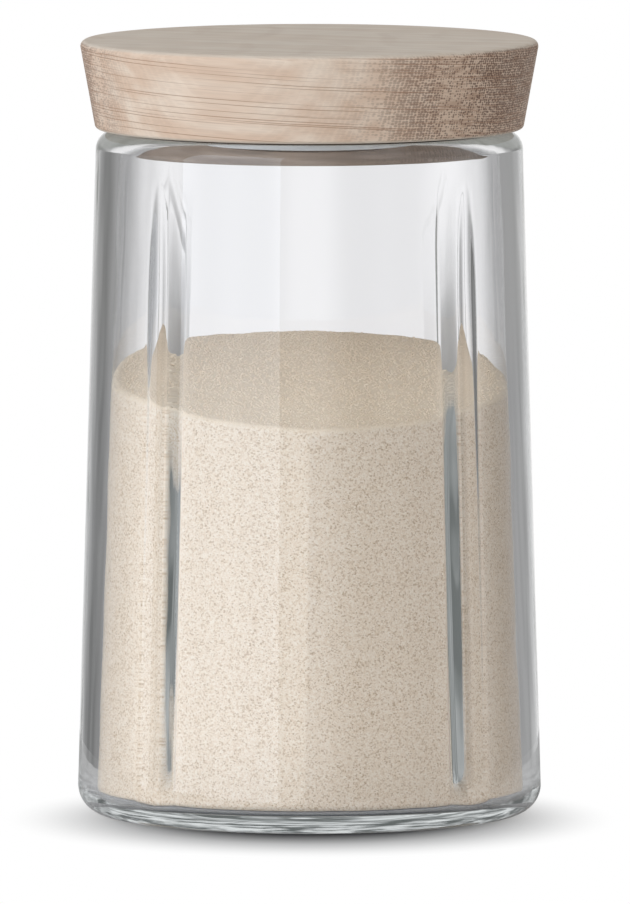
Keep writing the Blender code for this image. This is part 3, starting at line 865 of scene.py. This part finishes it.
class SealOperator(bpy.types.Operator):
    """Builds the silicone ring round the plug"""

    bl_idname = "storage_jar.seal"
    bl_label = "Silicone seal"

    def execute(self, context):
        seal = context.scene.storage_jar.seal
        glass = context.scene.storage_jar.glass
        lid = context.scene.storage_jar.lid
        mouth = bore_radius(glass, GLASS_HIGH.z)
        outer = mouth + seal.grip
        inner = mouth - lid.plug_gap - seal.seat_depth + seal.fit
        high = GLASS_HIGH.z + lid.seat_gap - lid.land_above - seal.fit
        low = high - seal.height
        lip = outer - seal.rounding
        profile = arc(lip, low + seal.rounding, seal.rounding, -90, 0, SEAL_STEPS)
        profile += arc(lip, high - seal.rounding, seal.rounding, 0, 90, SEAL_STEPS)
        profile += [(inner, high), (inner, low), profile[0]]
        ring = turned_piece("seal_ring", profile, around(SEAL_SEGMENTS))
        bm = bmesh.new()
        bm.from_mesh(ring.data)
        bmesh.ops.remove_doubles(bm, verts=bm.verts, dist=MERGE_DISTANCE)
        bmesh.ops.recalc_face_normals(bm, faces=bm.faces)
        bm.to_mesh(ring.data)
        bm.free()
        ring.data.set_sharp_from_angle(angle=SHARP_ANGLE)
        ring.data.materials.append(clear_silicone(seal.colour))
        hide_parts("lid_seal")
        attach(ring, "lid")
        return {"FINISHED"}


class FillOperator(bpy.types.Operator):
    """Fills the jar with dry granules, banked towards the back"""

    bl_idname = "storage_jar.fill"
    bl_label = "Dry contents"

    def execute(self, context):
        settings = context.scene.storage_jar
        glass, fill = settings.glass, settings.fill
        corner_top = glass.floor_thickness + glass.floor_rounding
        rounding = glass.floor_rounding - fill.gap
        corner = bore_radius(glass, corner_top) - glass.floor_rounding
        rim = FILL_HIGH.z
        profile = [(0, FILL_LOW.z), (corner, FILL_LOW.z)]
        sides = [ELSEWHERE] * len(profile)
        profile += arc(corner, corner_top, rounding, -90, 0, FILL_STEPS)[1:]
        fine, coarse = MILLIMETRE, 2.5 * MILLIMETRE
        heights = wall_heights(corner_top, rim, (corner_top, rim), fine, coarse)
        profile += [(bore_radius(glass, z) - fill.gap, z) for z in heights[1:]]
        sides += [INSIDE] * (len(profile) - len(sides))
        edge = profile[-1][0]
        profile += [(edge * (1 - i / FILL_RINGS), rim) for i in range(1, FILL_RINGS)]
        profile += [(0, rim)]
        sides += [OUTSIDE] * FILL_RINGS
        heap = turned_piece("dry_contents_heap", profile, wall_angles(glass), sides)
        self.bank(heap, glass, fill, corner_top, rim)
        _, ridges, _ = groove_values(glass, dry_granules(fill, "granules_packed", False))
        ridges["Waviness"] = 0.0
        run_tree(heap, moulded_grooves(), ridges)

        grains = heap.copy()
        grains.data = heap.data.copy()
        grains.name = "dry_contents_grains"
        context.scene.collection.objects.link(grains)
        area = math.pi * edge ** 2
        run_tree(grains, scattered_grains(), {
            "Density": fill.grain_count / area, "Size": fill.grain_size * LOOSE_WIDTH,
            "Seed": fill.seed, "Side": OUTSIDE,
            "Material": dry_granules(fill, "granules_loose", True)})
        for piece in (heap, grains):
            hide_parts("dry_contents")
            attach(piece, "jar")
        return {"FINISHED"}

    def bank(self, heap, glass, fill, low, high):
        """Lowers the level top to a banked, uneven one, and the wall's points with it."""
        count = len(heap.data.vertices)
        points = np.empty(count * 3)
        heap.data.vertices.foreach_get("co", points)
        points = points.reshape(-1, 3)
        side = np.empty(count, dtype=np.int32)
        heap.data.attributes[SIDE].data.foreach_get("value", side)
        edge = bore_radius(glass, high) - fill.gap
        x, y, z = points.T
        across = np.hypot(x, y) / edge
        lowest = (math.sin(fill.bank_turn), -math.cos(fill.bank_turn))
        forward = (x * lowest[0] + y * lowest[1]) / edge
        fallen = fill.bank_rise * np.maximum(0, (1 + forward) / 2) ** fill.bank_power
        # Crossed swells 33 and 37 mm long, and finer ones of 13 and 15 mm
        ripple = (np.sin(x * 190 + 1.3) * np.sin(y * 170 + 0.4)
                  + 0.6 * np.sin(x * 410 + y * 260) * np.cos(y * 380 - x * 150))
        surface = (high - fallen + fill.mound_height * np.maximum(0, 1 - across ** 2)
                   + fill.ripple / 4 * ripple)
        up_share = np.clip((z - low) / (high - low), 0, 1)
        on_top = side == OUTSIDE
        on_wall = (side == INSIDE) & (z > low)
        new_z = np.where(on_top, surface, np.where(on_wall, low + (surface - low) * up_share, z))
        shrink = np.where(on_wall | on_top, bore_radius(glass, new_z) / bore_radius(glass, z), 1)
        points[:, 0] *= shrink
        points[:, 1] *= shrink
        points[:, 2] = new_z
        heap.data.vertices.foreach_set("co", points.ravel())
        heap.data.update()


class StageOperator(bpy.types.Operator):
    """Sets up the camera, the lamp, the world and the floor"""

    bl_idname = "storage_jar.stage"
    bl_label = "Stage"

    def execute(self, context):
        stage = context.scene.storage_jar.stage
        self.camera(context.scene, stage)
        self.lamp(context.scene, stage)
        self.world(context.scene, stage)
        self.floor(context.scene, stage)
        context.scene.view_settings.view_transform = "Standard"
        return {"FINISHED"}

    def camera(self, scene, stage):
        data = bpy.data.cameras.new("camera")
        camera = bpy.data.objects.new("camera", data)
        scene.collection.objects.link(camera)
        a = stage.camera_angle
        camera.location = spot(a, stage.camera_distance, stage.camera_height)
        right = Vector((math.cos(a), math.sin(a), 0))
        distance = turn_to(camera, right * stage.aim_aside + Vector((0, 0, stage.aim_height)))
        data.sensor_width = SENSOR_WIDTH
        data.lens = stage.pixels_per_metre * distance * SENSOR_WIDTH / IMAGE_HEIGHT
        data.clip_end = 100.0
        scene.camera = camera

    def lamp(self, scene, stage):
        data = bpy.data.lights.new("key_softbox", "AREA")
        data.shape = "RECTANGLE"
        data.size = stage.key_width
        data.size_y = stage.key_height
        data.energy = stage.key_radiance * math.pi * stage.key_width * stage.key_height
        data.color = linear(stage.key_colour)[:3]
        data.use_nodes = True
        tree = data.node_tree
        tree.nodes.clear()
        path = add_node(tree, "ShaderNodeLightPath")
        gleam = add_node(tree, MIX, {0: path["Is Glossy Ray"], 6: (1.0, 1.0, 1.0, 1.0),
                                     7: linear(stage.gleam_colour)}, **COLOURS)[2]
        strength = add_node(tree, RANGE, {0: path["Is Glossy Ray"], 3: 1.0, 4: stage.gleam})[0]
        face = add_node(tree, "ShaderNodeEmission", {"Color": gleam, "Strength": strength})[0]
        add_node(tree, "ShaderNodeOutputLight", {"Surface": face})
        key = bpy.data.objects.new("key_softbox", data)
        key.visible_transmission = False
        scene.collection.objects.link(key)
        middle = stage.key_foot + stage.key_height / 2
        key.location = spot(stage.key_angle, stage.key_distance, middle)
        turn_to(key, Vector((0, 0, middle)))

    def world(self, scene, stage):
        """White to the camera and an even grey on surfaces.

        Glass shows a white backdrop that darkens to both sides of the view, as a table's sweep
        does. There are four such backdrops, and those seen from higher up lie between them.
        """
        world = bpy.data.worlds.new("studio")
        world.use_nodes = True
        scene.world = world
        tree = world.node_tree
        tree.nodes.clear()

        direction = add_node(tree, "ShaderNodeTexCoord")["Generated"]
        x, y, z = add_node(tree, "ShaderNodeSeparateXYZ", {0: direction})
        turn = add_node(tree, MATHS, {0: x, 1: y}, operation="ARCTAN2")[0]
        downwards = math.sin(math.radians(-9))
        lower = add_node(tree, MATHS, {0: z, 1: downwards}, operation="LESS_THAN")[0]
        eighth = math.pi / 4
        shifted = add_node(tree, MATHS, {0: lower, 1: eighth, 2: turn},
                           operation="MULTIPLY_ADD")[0]
        centred = add_node(tree, MATHS, {0: shifted, 1: stage.camera_angle},
                           operation="ADD")[0]
        offset = add_node(tree, MATHS, {0: centred, 1: eighth, 2: -eighth}, operation="WRAP")[0]
        share = add_node(tree, RANGE, {0: offset, 1: -eighth, 2: eighth})[0]
        fall = add_node(tree, "ShaderNodeValToRGB", {0: share})[0]
        stops = fall.node.color_ramp.elements
        # Brightness by the angle from the backdrop's middle, in degrees
        levels = {-45: 0.36, -38: 0.25, -32: 0.16, -25: 0.20, -19: 0.35, -14: 0.55, -9: 0.83,
                  -6: 0.91, 0: 0.93, 6: 0.95, 10: 0.92, 16: 0.71, 20: 0.46, 26: 0.34, 33: 0.34,
                  45: 0.36}
        for degrees, level in levels.items():
            place = (degrees / math.degrees(eighth) + 1) / 2
            stop = stops[0] if place == 0 else stops[-1] if place == 1 else stops.new(place)
            stop.color = (level, level, level, 1.0)
        # Over the backdrops, from 1 to 6 degrees up, lies a ceiling. It is darker where glass
        # shows it directly than where the contents catch its light
        above = add_node(tree, RANGE, {0: z, 1: 0.02, 2: 0.10})[0]
        path = add_node(tree, "ShaderNodeLightPath")
        bounced = add_node(tree, MATHS, {0: path["Diffuse Depth"], 1: 0.5},
                           operation="GREATER_THAN")[0]
        ceiling = add_node(tree, RANGE, {0: bounced, 3: 0.6, 4: 0.9})[0]
        panel = add_node(tree, MIX, {0: above, 2: fall, 3: ceiling})[0]

        sharp = sharp_rays(tree, path)
        seen = add_node(tree, MIX, {0: sharp, 2: stage.ambient, 3: panel})[0]
        shown = add_node(tree, MIX, {0: path["Is Camera Ray"], 2: seen, 3: 1.0})[0]
        sky = add_node(tree, "ShaderNodeBackground", {
            "Color": (1.0, 1.0, 1.0, 1.0), "Strength": shown})[0]
        add_node(tree, "ShaderNodeOutputWorld", {"Surface": sky})

    def floor(self, scene, stage):
        """A small pale card that carries the jar's shadow, partly cast and partly painted, and
        fades into the white round it.
        """
        bm = bmesh.new()
        bmesh.ops.create_circle(bm, cap_ends=True, segments=CARD_SEGMENTS,
                                radius=stage.floor_radius)
        mesh = bpy.data.meshes.new("floor")
        bm.to_mesh(mesh)
        bm.free()
        floor = bpy.data.objects.new("floor", mesh)
        scene.collection.objects.link(floor)
        material, tree = new_material("matt_white_card")
        place = add_node(tree, "ShaderNodeTexCoord")["Object"]
        # The fade paints the shadow's reach: the darker grey card, shifted to the front and
        # narrowed at the sides, goes over to white
        from_shadow = add_node(tree, VECTOR, {0: place, 1: (0.0, stage.shadow_shift, 0.0)},
                               operation="ADD")[0]
        narrow = (stage.shadow_narrowness, 1.0, 1.0)
        squeezed = add_node(tree, VECTOR, {0: from_shadow, 1: narrow}, operation="MULTIPLY")[0]
        away = add_node(tree, VECTOR, {0: squeezed}, operation="LENGTH")["Value"]
        fade = add_node(tree, RANGE, {0: away, 1: stage.shadow_near, 2: stage.shadow_far},
                        **SMOOTH)[0]
        path = add_node(tree, "ShaderNodeLightPath")

        # Painted shadow: the camera sees a twentieth of the card's colour right under the jar and
        # more further out, while the glass and the contents get its light in full
        painted_contact_shadow = add_node(tree, RANGE, {0: away, 1: stage.contact_near, 2: stage.contact_far,
                                         3: 0.05, 4: 0.60})[0]
        depth = add_node(tree, MIX, {0: path["Is Camera Ray"], 2: 1.0, 3: painted_contact_shadow})[0]
        shade = add_node(tree, VECTOR, {0: linear(stage.card_colour)[:3], "Scale": depth},
                         operation="SCALE")[0]
        card = add_node(tree, "ShaderNodeBsdfDiffuse", {"Color": shade})[0]

        # Through the glass the card is seen about twice as wide, and the white past it dimmer
        wide_fade = add_node(tree, RANGE, {0: away, 1: 1.9 * stage.shadow_near,
                                           2: 2.3 * stage.shadow_far})[0]
        sharp = sharp_rays(tree, path)
        direct = add_node(tree, MATHS, {0: path["Diffuse Depth"], 1: 0.5},
                          operation="LESS_THAN")[0]
        direct = add_node(tree, MATHS, {0: sharp, 1: direct}, operation="MULTIPLY")[0]
        fade = add_node(tree, MIX, {0: direct, 2: fade, 3: wide_fade})[0]
        glow = add_node(tree, RANGE, {0: direct, 3: 1.0, 4: 0.45})[0]
        white = add_node(tree, "ShaderNodeEmission", {"Strength": glow})[0]
        seen = add_node(tree, MATHS, {0: path["Is Camera Ray"], 1: sharp},
                        operation="MAXIMUM")[0]
        share = add_node(tree, MATHS, {0: fade, 1: seen}, operation="MULTIPLY")[0]
        surface = add_node(tree, "ShaderNodeMixShader", {0: share, 1: card, 2: white})[0]
        add_node(tree, OUTPUT, {"Surface": surface})
        mesh.materials.append(material)


class JarPanel(bpy.types.Panel):
    """Lists the jar's settings and the operators that build its pieces"""

    bl_idname = "VIEW3D_PT_storage_jar"
    bl_label = "Storage jar"
    bl_space_type = "VIEW_3D"
    bl_region_type = "UI"
    bl_category = "Storage jar"

    def draw(self, context):
        settings = context.scene.storage_jar
        for name, operator in PIECES.items():
            box = self.layout.box()
            box.operator(operator.bl_idname)
            group = getattr(settings, name)
            for key in group.__annotations__:
                box.prop(group, key)


PIECES = {"glass": GlassOperator, "lid": LidOperator, "seal": SealOperator,
          "fill": FillOperator, "stage": StageOperator}
CLASSES = (GlassSettings, LidSettings, SealSettings, FillSettings, StageSettings, JarSettings,
           *PIECES.values(), JarPanel)


def register():
    for kind in CLASSES:
        bpy.utils.register_class(kind)
    bpy.types.Scene.storage_jar = PointerProperty(type=JarSettings)


def unregister():
    del bpy.types.Scene.storage_jar
    for kind in reversed(CLASSES):
        bpy.utils.unregister_class(kind)


def main():
    register()
    for name in PIECES:
        getattr(bpy.ops.storage_jar, name)()


if __name__ == "__main__":
    main()
